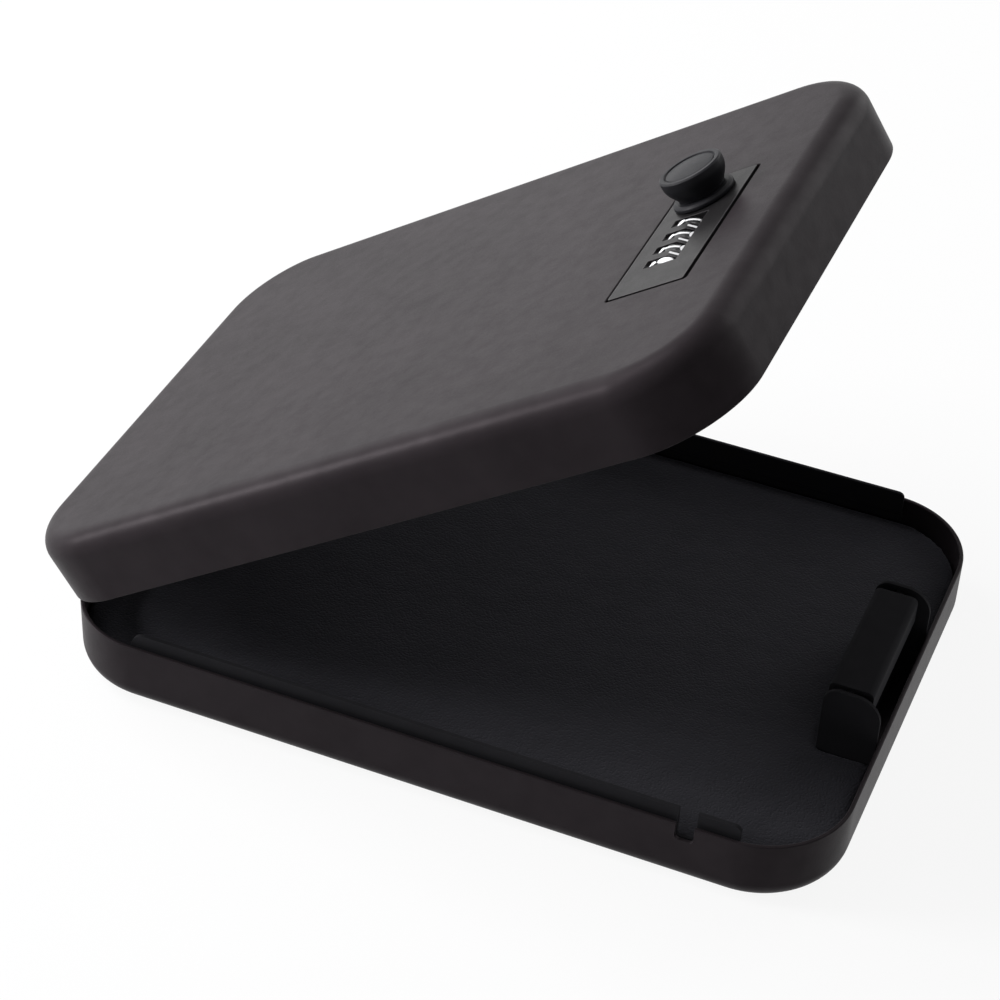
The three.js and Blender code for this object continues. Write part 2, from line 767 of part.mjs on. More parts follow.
// A spring leaf with one bump against each wheel
function detentSpring() {
  const wallFace = lockX + caseHalfWidth - caseWall - fitGap;
  const bottom = shoulderTop + fitGap;
  const leaf = box(wallFace - detentThickness, wallFace, rowStart + 0.5, rowEnd - 0.5, bottom, bottom + detentHeight);
  const reach = wallFace - (wheelAxisX + wheelRadius + fitGap);
  const middle = bottom + detentHeight / 2;
  const bumps = Array.from({ length: wheelCount }, (_, i) => {
    const y = firstWheelY + i * wheelPitch;
    return box(wallFace - reach, wallFace, y - 1, y + 1, middle - 0.8, middle + 0.8);
  });
  return join(leaf, ...bumps);
}

function dialAxle() {
  return rod(wheelAxisX, wheelAxisZ, axleRadius, pocketNearY + fitGap, rowEnd + axleSeat);
}

// A number wheel: ten flats with a thumb notch between each two
function numberWheel(y) {
  const shape = new THREE.Shape();
  const step = (Math.PI * 2) / wheelNotches;
  const land = step * 0.36;
  for (let i = 0; i < wheelNotches; i++) {
    const middle = (i + 0.5) * step + Math.PI / 2;
    const corners = [-land, -land / 3, land / 3, land].map((offset) => [middle + offset, wheelRadius]);
    corners.push([middle + step / 2, wheelRadius - wheelNotchDepth]);
    corners.forEach(([angle, radius], corner) => {
      const point = [wheelAxisX + radius * Math.cos(angle), wheelAxisZ + radius * Math.sin(angle)];
      if (i === 0 && corner === 0) shape.moveTo(...point);
      else shape.lineTo(...point);
    });
  }
  shape.closePath();
  const bore = rod(wheelAxisX, wheelAxisZ, sleeveRadius + 0.2, y - wheelWidth, y + wheelWidth);
  return cut(panel(shape, y - wheelWidth / 2, y + wheelWidth / 2), bore);
}

// The gate ring inside a number wheel, with the flat that the code sets
function wheelSleeve(y) {
  const half = wheelWidth / 2;
  return cut(
    rod(wheelAxisX, wheelAxisZ, sleeveRadius, y - half, y + half),
    rod(wheelAxisX, wheelAxisZ, axleRadius + axleClearance, y - half - 1, y + half + 1),
    box(
      wheelAxisX - sleeveRadius,
      wheelAxisX + sleeveRadius,
      y - half - 1,
      y + half + 1,
      wheelAxisZ - sleeveRadius - 1,
      wheelAxisZ - sleeveRadius + gateDepth,
    ),
  );
}

// A thumb tab under the cover with a neck up into the case
function changeLever() {
  const y = leverPocketNear + leverSlotMargin + runGap + leverNeckLength / 2;
  const top = coverBottom - runGap;
  return join(
    box(
      lockX - leverHeadWidth / 2,
      lockX + leverHeadWidth / 2,
      y - leverHeadLength / 2,
      y + leverHeadLength / 2,
      top - leverHeadHeight,
      top,
    ),
    box(
      lockX - leverNeckWidth / 2,
      lockX + leverNeckWidth / 2,
      y - leverNeckLength / 2,
      y + leverNeckLength / 2,
      top - leverHeadHeight,
      caseBottom + leverPocketHeight - 1,
    ),
  );
}

const collarBottom = plateTop + fitGap;
const collarTop = collarBottom + collarHeight;
const knobBottom = collarTop + runGap;
const knobFace = caseHeight + knobTop;
const spindleTop = knobBottom + knobBoreDepth - fitGap;
const camStackBottom = camBottom - fitGap - camWasherThickness - fitGap - camNutHeight;

// The fixed collar under the knob and the sleeve that the spindle turns in
function knobBushing() {
  const bore = spindleRadius + spindleClearance;
  return turned(
    [
      [bore, collarBottom - sleeveLength],
      [sleeveOuterRadius, collarBottom - sleeveLength],
      [sleeveOuterRadius, collarBottom],
      [collarRadius, collarBottom],
      [collarRadius, collarTop - collarHeight * 0.45],
      [collarRadius - 0.9, collarTop],
      [bore, collarTop],
      [bore, collarBottom - sleeveLength],
    ],
    knobX,
    knobY,
  );
}

// The mushroom-shaped grip, dished on top and bored for the spindle
function knob() {
  const bore = spindleRadius + fitGap;
  const boreTop = knobBottom + knobBoreDepth;
  const rimBottom = knobFace - knobRimHeight;
  const flareBottom = knobBottom + knobWaistHeight;
  const flare = Array.from({ length: 7 }, (_, i) => {
    const t = i / 6;
    const swell = (knobRadius - knobWaistRadius) * Math.sin((t * Math.PI) / 2);
    return [knobWaistRadius + swell, flareBottom + (rimBottom - flareBottom) * t];
  });
  return turned(
    [
      [0, boreTop],
      [bore, boreTop],
      [bore, knobBottom],
      [knobWaistRadius, knobBottom],
      ...flare,
      [knobRadius, knobFace - 0.4],
      [knobRadius - 0.5, knobFace],
      [knobDishRadius, knobFace],
      [knobDishRadius - 0.3, knobFace - knobDishDepth],
      [0, knobFace - knobDishDepth],
    ],
    knobX,
    knobY,
  );
}

function knobDisc() {
  const bottom = knobFace - knobDishDepth + 0.1;
  const radius = knobDishRadius - 0.3 - fitGap;
  const edge = bottom + 0.25;
  const crown = Array.from({ length: 5 }, (_, i) => {
    const t = 1 - i / 4;
    return [radius * t, edge + knobDiscCrown * (1 - t * t)];
  });
  return turned([[0, bottom], [radius, bottom], ...crown], knobX, knobY);
}

// Round in the bushing, square in the cam and threaded below it
function spindle() {
  const squareHalf = camSquare / 2;
  return join(
    post(knobX, knobY, spindleRadius, camTop + 0.1, spindleTop, roundSides),
    box(knobX - squareHalf, knobX + squareHalf, knobY - squareHalf, knobY + squareHalf, camBottom, camTop + 1),
    post(knobX, knobY, threadRadius, camStackBottom - 0.4, camBottom + 1),
  );
}

// At rest the cam points along -Y, clear of the strike bar
function cam() {
  const half = camWidth / 2;
  const shape = new THREE.Shape();
  shape.absarc(knobX, knobY, half, 0, Math.PI);
  shape.lineTo(knobX - half, knobY - camReach + 2);
  shape.quadraticCurveTo(knobX - half, knobY - camReach, knobX - half + 2, knobY - camReach);
  shape.lineTo(knobX + half - 2, knobY - camReach);
  shape.quadraticCurveTo(knobX + half, knobY - camReach, knobX + half, knobY - camReach + 2);
  shape.closePath();
  const hole = camSquare / 2 + 0.15;
  return cut(
    slab(shape, camBottom, camTop, 12),
    box(knobX - hole, knobX + hole, knobY - hole, knobY + hole, camBottom - 1, camTop + 1),
  );
}

function camWasher() {
  const top = camBottom - fitGap;
  return cut(
    post(knobX, knobY, camWasherRadius, top - camWasherThickness, top),
    post(knobX, knobY, threadRadius + 0.2, top - camWasherThickness - 1, top + 1),
  );
}

function camNut() {
  const top = camStackBottom + camNutHeight;
  return cut(
    slab(hexagon(knobX, knobY, camNutAcrossFlats), camStackBottom, top),
    post(knobX, knobY, threadRadius + 0.2, camStackBottom - 1, top + 1),
  );
}

function finish(color, roughness, metalness) {
  return new THREE.MeshStandardMaterial({ color, roughness, metalness });
}

const powderCoat = finish(0x2b292a, 0.55, 0.2);
const darkSteel = finish(0x232325, 0.45, 0.5);
const zincSteel = finish(0x8c8d90, 0.35, 0.9);
const foam = finish(0x0e0e14, 0.95, 0);
const lockBlack = finish(0x2a2a2d, 0.4, 0.4);
const wheelBlack = finish(0x111113, 0.35, 0.1);
const brass = finish(0xa58b4a, 0.35, 0.9);

function named(name, geometry, material) {
  const mesh = new THREE.Mesh(geometry, material);
  mesh.name = name;
  return mesh;
}

const base = new THREE.Group();
base.add(
  named("base_pan", basePan(), powderCoat),
  named("base_foam", baseFoam(), foam),
  named("near_strip", alignmentStrip(-1), darkSteel),
  named("far_strip", alignmentStrip(1), darkSteel),
  named("strike_bracket", strikeBracket(), darkSteel),
  named("strike_bar", strikeBar(), darkSteel),
  named("hinge_base_leaf", hingeLeaf(-1, 0), darkSteel),
  named("hinge_pin", hingePin(), zincSteel),
);
rivetPlaces.forEach((y, i) => base.add(named(`base_rivet_${i + 1}`, rivet(y, hingeZ - rivetDrop), darkSteel)));

// Everything in this group is drawn with the lid shut
const lidPieces = new THREE.Group();
lidPieces.position.set(-hingeX, 0, -hingeZ);
lidPieces.add(
  named("lid_pan", lidPan(), powderCoat),
  named("lid_foam", lidFoam(), foam),
  named("hinge_lid_leaf", hingeLeaf(1, 1), darkSteel),
  named("lock_plate", lockPlate(), lockBlack),
  named("lock_case", lockCase(), lockBlack),
  named("lock_cover", lockCover(), zincSteel),
  named("dial_axle", dialAxle(), zincSteel),
  named("fence_bar", fenceBar(), zincSteel),
  named("detent_spring", detentSpring(), zincSteel),
  named("knob_bushing", knobBushing(), lockBlack),
  named("knob", knob(), lockBlack),
  named("knob_disc", knobDisc(), lockBlack),
  named("spindle", spindle(), zincSteel),
  named("cam", cam(), zincSteel),
  named("cam_washer", camWasher(), zincSteel),
  named("cam_nut", camNut(), zincSteel),
  named("change_lever", changeLever(), zincSteel),
);
rivetPlaces.forEach((y, i) => lidPieces.add(named(`lid_rivet_${i + 1}`, rivet(y, hingeZ + rivetDrop), darkSteel)));
studPlaces.forEach((y, i) => {
  lidPieces.add(named(`lock_stud_${i + 1}`, lockStud(y), zincSteel));
  lidPieces.add(named(`lock_nut_${i + 1}`, lockNut(y), zincSteel));
});
screwPlaces.forEach((place, i) => lidPieces.add(named(`cover_screw_${i + 1}`, coverScrew(place), zincSteel)));
for (let i = 0; i < wheelCount; i++) {
  const y = firstWheelY + i * wheelPitch;
  lidPieces.add(named(`dial_${i + 1}`, numberWheel(y), wheelBlack));
  lidPieces.add(named(`dial_sleeve_${i + 1}`, wheelSleeve(y), brass));
}

const lid = new THREE.Group();
lid.position.set(hingeX, 0, hingeZ);
lid.rotation.y = -openAngle;
lid.add(lidPieces);

const safe = new THREE.Group();
safe.add(base, lid);

export default safe;
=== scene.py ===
# Portable car safe with its lid ajar: drawn black shells, number wheels and a turning knob in the lid,
# foam liners, a strike bracket and a rear hinge. Metres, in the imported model's own frame.
import math

import bmesh
import bpy
from mathutils import Matrix, Vector, noise


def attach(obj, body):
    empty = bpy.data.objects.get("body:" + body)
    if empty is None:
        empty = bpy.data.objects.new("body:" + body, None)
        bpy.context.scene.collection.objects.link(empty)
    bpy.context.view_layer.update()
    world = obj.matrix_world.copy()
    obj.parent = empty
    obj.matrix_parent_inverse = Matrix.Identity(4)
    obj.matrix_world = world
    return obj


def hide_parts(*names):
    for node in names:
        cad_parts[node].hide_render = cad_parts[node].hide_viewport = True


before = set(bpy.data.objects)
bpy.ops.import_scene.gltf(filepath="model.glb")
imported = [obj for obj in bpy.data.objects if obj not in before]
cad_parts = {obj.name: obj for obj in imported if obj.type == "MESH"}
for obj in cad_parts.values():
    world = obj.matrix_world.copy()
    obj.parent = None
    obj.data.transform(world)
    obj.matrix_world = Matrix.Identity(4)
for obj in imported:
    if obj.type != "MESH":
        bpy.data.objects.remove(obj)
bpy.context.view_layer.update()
mm = 0.001
tiny = 1e-6
sharpAngle = 35  # degrees, edges that turn more stay crisp

# The camera stands where the photograph was taken, found from the outlines of both shells
photoView = {
    "azimuth": 20.664,
    "elevation": 38.705,
    "roll": 3.0414,
    "distance": 838.91,
    "aimHeight": 20,
    "aimAcross": -9.243,
    "aimUp": 22.634,
    "focalPixels": 2737.26,
    "framePixels": 1000,
    "sensor": 36,
    "clipStart": 0.01,
    "clipEnd": 20,
}


def makeCamera(look):
    azimuth, elevation, roll = (math.radians(look[key]) for key in ("azimuth", "elevation", "roll"))
    back = Vector((
        math.sin(azimuth) * math.cos(elevation),
        -math.cos(azimuth) * math.cos(elevation),
        math.sin(elevation),
    ))
    level = Vector((math.cos(azimuth), math.sin(azimuth), 0))
    upright = back.cross(level)
    right = level * math.cos(roll) + upright * math.sin(roll)
    up = upright * math.cos(roll) - level * math.sin(roll)
    aim = Vector((0, 0, look["aimHeight"])) + right * look["aimAcross"] + up * look["aimUp"]
    data = bpy.data.cameras.new("photoCamera")
    data.sensor_width = look["sensor"]
    data.lens = look["focalPixels"] / look["framePixels"] * look["sensor"]
    data.clip_start = look["clipStart"]
    data.clip_end = look["clipEnd"]
    camera = bpy.data.objects.new("photoCamera", data)
    turn = Matrix((right, up, back)).transposed().to_4x4()
    camera.matrix_world = Matrix.Translation((aim + back * look["distance"]) * mm) @ turn
    bpy.context.scene.collection.objects.link(camera)
    bpy.context.scene.camera = camera


makeCamera(photoView)
print("camera set")

# Sizes that several pieces share, in millimetres
case = {
    "length": 241.3,
    "width": 168,
    "height": 44.5,
    "corner": 27.5,
    "fillet": 7,
    "sheet": 1.3,
    "rimGap": 0.3,
    "fitGap": 0.3,
    "runGap": 0.3,
    "plateRise": 0.2,
    "openAngle": 33.84,
    "hingeX": -122.65,
}
rimPlane = case["height"] / 2
plateTop = case["height"] + case["plateRise"]
hingePoint = Vector((case["hingeX"], 0, rimPlane)) * mm
openTurn = Matrix.Rotation(-math.radians(case["openAngle"]), 4, "Y")
lidOpen = Matrix.Translation(hingePoint) @ openTurn @ Matrix.Translation(-hingePoint)


# Finishes
noiseReach = (0.3, 0.7)  # nearly all of a noise field lies between these


def newFinish(name):
    finish = bpy.data.materials.new(name)
    finish.use_nodes = True
    tree = finish.node_tree
    return finish, tree, tree.nodes["Principled BSDF"]


def noiseField(tree, scale, detail, roughness=0.55, stretch=None):
    coords = tree.nodes.new("ShaderNodeTexCoord")
    field = tree.nodes.new("ShaderNodeTexNoise")
    field.inputs["Scale"].default_value = scale
    field.inputs["Detail"].default_value = detail
    field.inputs["Roughness"].default_value = roughness
    if stretch:
        mapping = tree.nodes.new("ShaderNodeMapping")
        mapping.inputs["Scale"].default_value = stretch
        tree.links.new(coords.outputs["Object"], mapping.inputs["Vector"])
        tree.links.new(mapping.outputs["Vector"], field.inputs["Vector"])
    else:
        tree.links.new(coords.outputs["Object"], field.inputs["Vector"])
    return field.outputs["Fac"]


def spread(tree, value, reach, result):
    # maps the values between the two ends of reach to those between the two ends of result
    node = tree.nodes.new("ShaderNodeMapRange")
    node.inputs["From Min"].default_value, node.inputs["From Max"].default_value = reach
    node.inputs["To Min"].default_value, node.inputs["To Max"].default_value = result
    tree.links.new(value, node.inputs["Value"])
    return node.outputs["Result"]


def around(middle, change):
    return middle - change, middle + change


def tintBetween(tree, value, dark, light):
    ramp = tree.nodes.new("ShaderNodeValToRGB")
    for element, position, color in zip(ramp.color_ramp.elements, noiseReach, (dark, light)):
        element.position = position
        element.color = (*color, 1)
    tree.links.new(value, ramp.inputs["Fac"])
    return ramp.outputs["Color"]


def bumpChain(tree, shader, layers):
    # layers is a list of (height socket, depth in millimetres, strength)
    last = None
    for height, depth, strength in layers:
        bump = tree.nodes.new("ShaderNodeBump")
        bump.inputs["Distance"].default_value = depth * mm
        bump.inputs["Strength"].default_value = strength
        tree.links.new(height, bump.inputs["Height"])
        if last:
            tree.links.new(last, bump.inputs["Normal"])
        last = bump.outputs["Normal"]
    tree.links.new(last, shader.inputs["Normal"])


def brightEdges(tree, color, look):
    # painted highlight: the colour is lightened along the edges, where the bevelled normal turns away,
    # standing in for light caught on the rounded edges
    edge = tree.nodes.new("ShaderNodeBevel")
    edge.samples = look["edgeSamples"]
    edge.inputs["Radius"].default_value = look["edgeReach"] * mm
    geometry = tree.nodes.new("ShaderNodeNewGeometry")
    turnAway = tree.nodes.new("ShaderNodeVectorMath")
    turnAway.operation = "DOT_PRODUCT"
    tree.links.new(edge.outputs["Normal"], turnAway.inputs[0])
    tree.links.new(geometry.outputs["Normal"], turnAway.inputs[1])
    highlightShare = spread(tree, turnAway.outputs["Value"], look["edgeFacing"], (0, look["edgeHighlightShare"]))
    mix = tree.nodes.new("ShaderNodeMix")
    mix.data_type = "RGBA"
    whole, highlightColor, mixed = mix.inputs[6], mix.inputs[7], mix.outputs[2]  # the node's colour sockets
    tree.links.new(highlightShare, mix.inputs["Factor"])
    tree.links.new(color, whole)
    highlightColor.default_value = (*look["edgeHighlightColor"], 1)
    return mixed


def powderFinish(name, look):
    finish, tree, shader = newFinish(name)
    broad = noiseField(tree, look["mottleScale"], detail=3)
    grain = noiseField(tree, look["grainScale"], detail=6, roughness=0.7)
    peel = noiseField(tree, look["peelScale"], detail=2, roughness=0.4)
    color = tintBetween(tree, broad, look["dark"], look["light"])
    # painted highlight along the bevelled edges: a lighter colour is mixed into the base colour there
    tree.links.new(brightEdges(tree, color, look), shader.inputs["Base Color"])
    rough = spread(tree, grain, noiseReach, around(look["roughness"], look["roughnessChange"]))
    tree.links.new(rough, shader.inputs["Roughness"])
    cloud = noiseField(tree, look["cloudScale"], detail=4, roughness=0.6)
    gloss = spread(tree, cloud, look["cloudReach"], around(look["gloss"], look["gloss"] * look["cloudGloss"]))
    tree.links.new(gloss, shader.inputs["Specular IOR Level"])
    shader.inputs["Specular Tint"].default_value = (*look["glossTint"], 1)
    bumpChain(tree, shader, [
        (peel, look["peelDepth"], look["peelStrength"]),
        (grain, look["grainDepth"], look["grainStrength"]),
    ])
    return finish


shellPaint = {
    "dark": (0.0160, 0.0133, 0.0150),
    "light": (0.0212, 0.0176, 0.0198),
    "mottleScale": 26,
    "grainScale": 3200,
    "peelScale": 820,
    "roughness": 0.40,
    "roughnessChange": 0.08,
    "gloss": 0.051,
    "cloudScale": 170,
    "cloudReach": (0.35, 0.65),
    "cloudGloss": 0.16,
    "peelDepth": 0.05,
    "peelStrength": 0.32,
    "grainDepth": 0.02,
    "grainStrength": 0.3,
    "glossTint": (1.0, 0.84, 0.92),
    # the edge entries set a painted highlight, a lighter colour along the bevelled edges
    "edgeSamples": 4,
    "edgeReach": 0.35,
    "edgeFacing": (0.995, 0.93),
    "edgeHighlightShare": 0.6,
    "edgeHighlightColor": (0.030, 0.028, 0.030),
}
shellFinish = powderFinish("shellPowderCoat", shellPaint)
bracketFinish = powderFinish("bracketBlackPaint", {
    **shellPaint, "dark": (0.0160, 0.0158, 0.0178), "light": (0.0205, 0.0202, 0.0225),
    "roughness": 0.66, "gloss": 0.02, "glossTint": (1.0, 0.98, 1.0), "peelStrength": 0.12,
    "edgeHighlightShare": 0.4, "edgeHighlightColor": (0.026, 0.026, 0.028),
})
lockFinish = powderFinish("lockCastingBlack", {
    **shellPaint, "dark": (0.0095, 0.0090, 0.0095), "light": (0.0125, 0.0118, 0.0125),
    "roughness": 0.38, "gloss": 0.10, "glossTint": (1.0, 0.96, 0.99), "peelScale": 1500, "peelStrength": 0.12,
    # a strong painted highlight along the lock casting's bevelled edges
    "grainStrength": 0.2, "edgeHighlightShare": 0.9, "edgeHighlightColor": (0.09, 0.085, 0.09),
})
knobFinish = powderFinish("knobSatinBlack", {
    **shellPaint, "dark": (0.0125, 0.0125, 0.0145), "light": (0.0155, 0.0155, 0.0180),
    "roughness": 0.42, "gloss": 0.08, "glossTint": (1.0, 0.97, 1.0), "peelScale": 1800, "peelStrength": 0.08,
    "grainStrength": 0.12, "edgeHighlightShare": 0.25,
})


def zincFinish(name, look):
    finish, tree, shader = newFinish(name)
    streak = noiseField(tree, look["streakScale"], detail=5, roughness=0.6, stretch=look["streakStretch"])
    cloud = noiseField(tree, look["cloudScale"], detail=3)
    tree.links.new(tintBetween(tree, cloud, look["dark"], look["light"]), shader.inputs["Base Color"])
    tree.links.new(spread(tree, streak, noiseReach, look["roughness"]), shader.inputs["Roughness"])
    shader.inputs["Metallic"].default_value = 1
    bumpChain(tree, shader, [(streak, look["streakDepth"], look["streakStrength"])])
    return finish


zincPlate = {
    "dark": (0.42, 0.43, 0.46), "light": (0.60, 0.61, 0.63), "cloudScale": 120, "roughness": (0.22, 0.42),
    "streakScale": 2600, "streakStretch": (1, 0.12, 1), "streakDepth": 0.012, "streakStrength": 0.35,
}
steelFinish = zincFinish("zincPlatedSteel", zincPlate)
brassFinish = zincFinish("wheelSleeveBrass", {
    **zincPlate, "dark": (0.52, 0.38, 0.15), "light": (0.66, 0.50, 0.22), "cloudScale": 200,
    "roughness": (0.25, 0.4), "streakScale": 2200,
})


def wheelFinish(name, look):
    finish, tree, shader = newFinish(name)
    fine = noiseField(tree, look["grainScale"], detail=4)
    tree.links.new(tintBetween(tree, fine, look["dark"], look["light"]), shader.inputs["Base Color"])
    tree.links.new(spread(tree, fine, noiseReach, look["roughness"]), shader.inputs["Roughness"])
    bumpChain(tree, shader, [(fine, look["grainDepth"], look["grainStrength"])])
    return finish


wheelBlack = wheelFinish("wheelBlackPlastic", {
    "dark": (0.008, 0.008, 0.009), "light": (0.012, 0.012, 0.013), "roughness": (0.24, 0.36),
    "grainScale": 2400, "grainDepth": 0.01, "grainStrength": 0.25,
})
figureWhite = wheelFinish("figureWhitePaint", {
    "dark": (0.78, 0.78, 0.80), "light": (0.88, 0.88, 0.89), "roughness": (0.4, 0.55),
    "grainScale": 3000, "grainDepth": 0.01, "grainStrength": 0.2,
})


def foamFinish(name, look):
    finish, tree, shader = newFinish(name)
    coords = tree.nodes.new("ShaderNodeTexCoord")
    cells = tree.nodes.new("ShaderNodeTexVoronoi")
    cells.inputs["Scale"].default_value = look["cellScale"]
    cells.inputs["Randomness"].default_value = look["cellRandomness"]
    tree.links.new(coords.outputs["Object"], cells.inputs["Vector"])
    pores = spread(tree, cells.outputs["Distance"], look["cellReach"], (0, 1))
    nap = noiseField(tree, look["napScale"], detail=5, roughness=0.65)
    broad = noiseField(tree, look["mottleScale"], detail=3)
    tree.links.new(tintBetween(tree, broad, look["dark"], look["light"]), shader.inputs["Base Color"])
    shader.inputs["Roughness"].default_value = look["roughness"]
    shader.inputs["Sheen Weight"].default_value = look["sheen"]
    shader.inputs["Sheen Roughness"].default_value = look["sheenRoughness"]
    shader.inputs["Sheen Tint"].default_value = (*look["sheenTint"], 1)
    shader.inputs["Specular IOR Level"].default_value = look["gloss"]
    bumpChain(tree, shader, [
        (pores, look["cellDepth"], look["cellStrength"]),
        (nap, look["napDepth"], look["napStrength"]),
    ])
    return finish


linerFinish = foamFinish("blackFoam", {
    "dark": (0.0122, 0.0118, 0.0144), "light": (0.0168, 0.0163, 0.0198), "mottleScale": 45,
    "roughness": 0.96, "gloss": 0.25, "sheen": 0.12, "sheenRoughness": 0.6, "sheenTint": (0.5, 0.5, 0.62),
    "cellScale": 1300, "cellRandomness": 0.95, "cellReach": (0.1, 0.6), "cellDepth": 0.25,
    "cellStrength": 0.5, "napScale": 2600, "napDepth": 0.12, "napStrength": 0.5,
})
print("finishes mixed")


# How the pieces are made and handed to the frame
def finishMesh(mesh, angle):
    mesh.polygons.foreach_set("use_smooth", [True] * len(mesh.polygons))
    mesh.set_sharp_from_angle(angle=math.radians(angle))


def addPiece(name, mesh, finish, body, replaced=(), closedLid=False, angle=sharpAngle, even=True):
    # closedLid is for a piece drawn with the lid shut, which swings open here
    if closedLid:
        mesh.transform(lidOpen)
    finishMesh(mesh, angle)
    mesh.materials.clear()
    mesh.materials.append(finish)
    piece = bpy.data.objects.new(name, mesh)
    bpy.context.scene.collection.objects.link(piece)
    if even:
        weights = piece.modifiers.new("evenFlats", "WEIGHTED_NORMAL")
        weights.keep_sharp = True
    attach(piece, body)
    if replaced:
        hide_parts(*replaced)
    return piece


def meshFrom(bm, name):
    bmesh.ops.recalc_face_normals(bm, faces=bm.faces)
    mesh = bpy.data.meshes.new(name)
    bm.to_mesh(mesh)
    bm.free()
    return mesh


def evaluated(obj):
    graph = bpy.context.evaluated_depsgraph_get()
    return bpy.data.meshes.new_from_object(obj.evaluated_get(graph))


def applyModifiers(mesh, build):
    # hangs the mesh on a passing object, lets build add modifiers there and hands back the result
    holder = bpy.data.objects.new("holder", mesh)
    bpy.context.scene.collection.objects.link(holder)
    build(holder)
    bpy.context.view_layer.update()
    result = evaluated(holder)
    bpy.data.objects.remove(holder)
    return result


def ringFaces(bm, lower, upper):
    count = len(lower)
    for i in range(count):
        j = (i + 1) % count
        bm.faces.new((lower[i], lower[j], upper[j], upper[i]))


def addRing(bm, points):
    # points are in millimetres
    return [bm.verts.new(Vector(point) * mm) for point in points]


def roundedOutline(halfX, halfY, radius, steps, z, centre=(0, 0)):
    ring = []
    for quarter, (signX, signY) in enumerate([(1, 1), (-1, 1), (-1, -1), (1, -1)]):
        for i in range(steps + 1):
            angle = (quarter + i / steps) * math.pi / 2
            ring.append((
                centre[0] + signX * (halfX - radius) + radius * math.cos(angle),
                centre[1] + signY * (halfY - radius) + radius * math.sin(angle),
                z,
            ))
    return ring


def quarterRound(radius, steps):
    # (across, along) pairs from the flat to the wall
    angles = [i / steps * math.pi / 2 for i in range(steps + 1)]
    return [(radius * (1 - math.sin(angle)), radius * (1 - math.cos(angle))) for angle in angles]


def turnedMesh(name, outline, centre, sides):
    # outline is (radius, height) and closed; points on the axis become one vertex
    bm = bmesh.new()
    rings = []
    angles = [i / sides * 2 * math.pi for i in range(sides)]
    for radius, z in outline:
        if radius < tiny:
            rings.append(addRing(bm, [(centre[0], centre[1], z)]))
            continue
        rings.append(addRing(bm, [
            (centre[0] + radius * math.cos(angle), centre[1] + radius * math.sin(angle), z)
            for angle in angles
        ]))
    for lower, upper in zip(rings, rings[1:] + rings[:1]):
        if len(lower) == 1 and len(upper) == 1:
            continue
        if len(lower) == 1 or len(upper) == 1:
            tip, ring = (lower[0], upper) if len(lower) == 1 else (upper[0], lower)
            for i in range(sides):
                bm.faces.new((tip, ring[i], ring[(i + 1) % sides]))
        else:
            ringFaces(bm, lower, upper)
    return meshFrom(bm, name)


softening = {"steps": 3, "straightAngle": 140, "sideShare": 2.2}


def softenedOutline(points, radius):
    # rounds the corners of a closed (radius, height) outline, but none on the axis or nearly straight
    steps = softening["steps"]
    straight = math.radians(softening["straightAngle"])
    result = []
    for i, corner in enumerate(points):
        here = Vector(corner)
        back = Vector(points[i - 1]) - here
        ahead = Vector(points[(i + 1) % len(points)]) - here
        if min(here.x, back.length, ahead.length) < tiny or back.angle(ahead) > straight:
            result.append(tuple(here))
            continue
        reach = min(radius, back.length / softening["sideShare"], ahead.length / softening["sideShare"])
        start, end = here + back.normalized() * reach, here + ahead.normalized() * reach
        for k in range(steps + 1):
            share = k / steps
            point = start * (1 - share) ** 2 + here * 2 * share * (1 - share) + end * share * share
            result.append(tuple(point))
    return result


cleaning = {"weldDistance": 0.002, "flatAngle": 1}


def cadCopy(node):
    # a CAD solid's shape as one welded mesh with its flat faces whole again
    bm = bmesh.new()
    bm.from_mesh(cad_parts[node].data)
    bmesh.ops.remove_doubles(bm, verts=bm.verts, dist=cleaning["weldDistance"] * mm)
    flat = math.radians(cleaning["flatAngle"])
    bmesh.ops.dissolve_limit(bm, angle_limit=flat, verts=bm.verts, edges=bm.edges)
    return meshFrom(bm, node + "Dressed")


def easedPiece(node, finish, body, ease, segments=2):
    # the CAD shape with its sharp edges eased, as a deburred and coated piece has
    def soften(holder):
        bevel = holder.modifiers.new("ease", "BEVEL")
        bevel.width = ease * mm
        bevel.segments = segments
        bevel.limit_method = "ANGLE"
        bevel.angle_limit = math.radians(sharpAngle)
        bevel.use_clamp_overlap = True
    addPiece(node + "_piece", applyModifiers(cadCopy(node), soften), finish, body, [node])


# Shells
shell = {
    "cornerSteps": 28, "filletSteps": 12, "rimRound": 0.4, "rimSteps": 4,
    "openingRound": 0.35, "openingSteps": 3, "flatBorder": 2,
}


def caseRing(inset, z):
    halfX, halfY = case["length"] / 2 - inset, case["width"] / 2 - inset
    return roundedOutline(halfX, halfY, case["corner"] - inset, shell["cornerSteps"], z)


def shellRings(face, rim, side):
    # outer flat, round edge, wall, rim, inner wall, inner round edge, inner flat
    sheet = case["sheet"]
    outside = quarterRound(case["fillet"], shell["filletSteps"])
    inside = quarterRound(case["fillet"] - sheet, shell["filletSteps"])
    edge = quarterRound(shell["rimRound"], shell["rimSteps"])
    levels = [(across, face + side * along) for across, along in outside]
    levels += [(across, rim - side * along) for across, along in reversed(edge)]
    levels += [(sheet - across, rim - side * along) for across, along in edge]
    levels += [(sheet + across, face + side * (sheet + along)) for across, along in reversed(inside)]
    return [caseRing(inset, z) for inset, z in levels]


notch = {
    "x": 80, "width": 5.6, "depth": 5.8, "round": 1.4, "roundSteps": 8,
    "cutAbove": 4, "cutOutside": 2, "cutInside": 4,
}


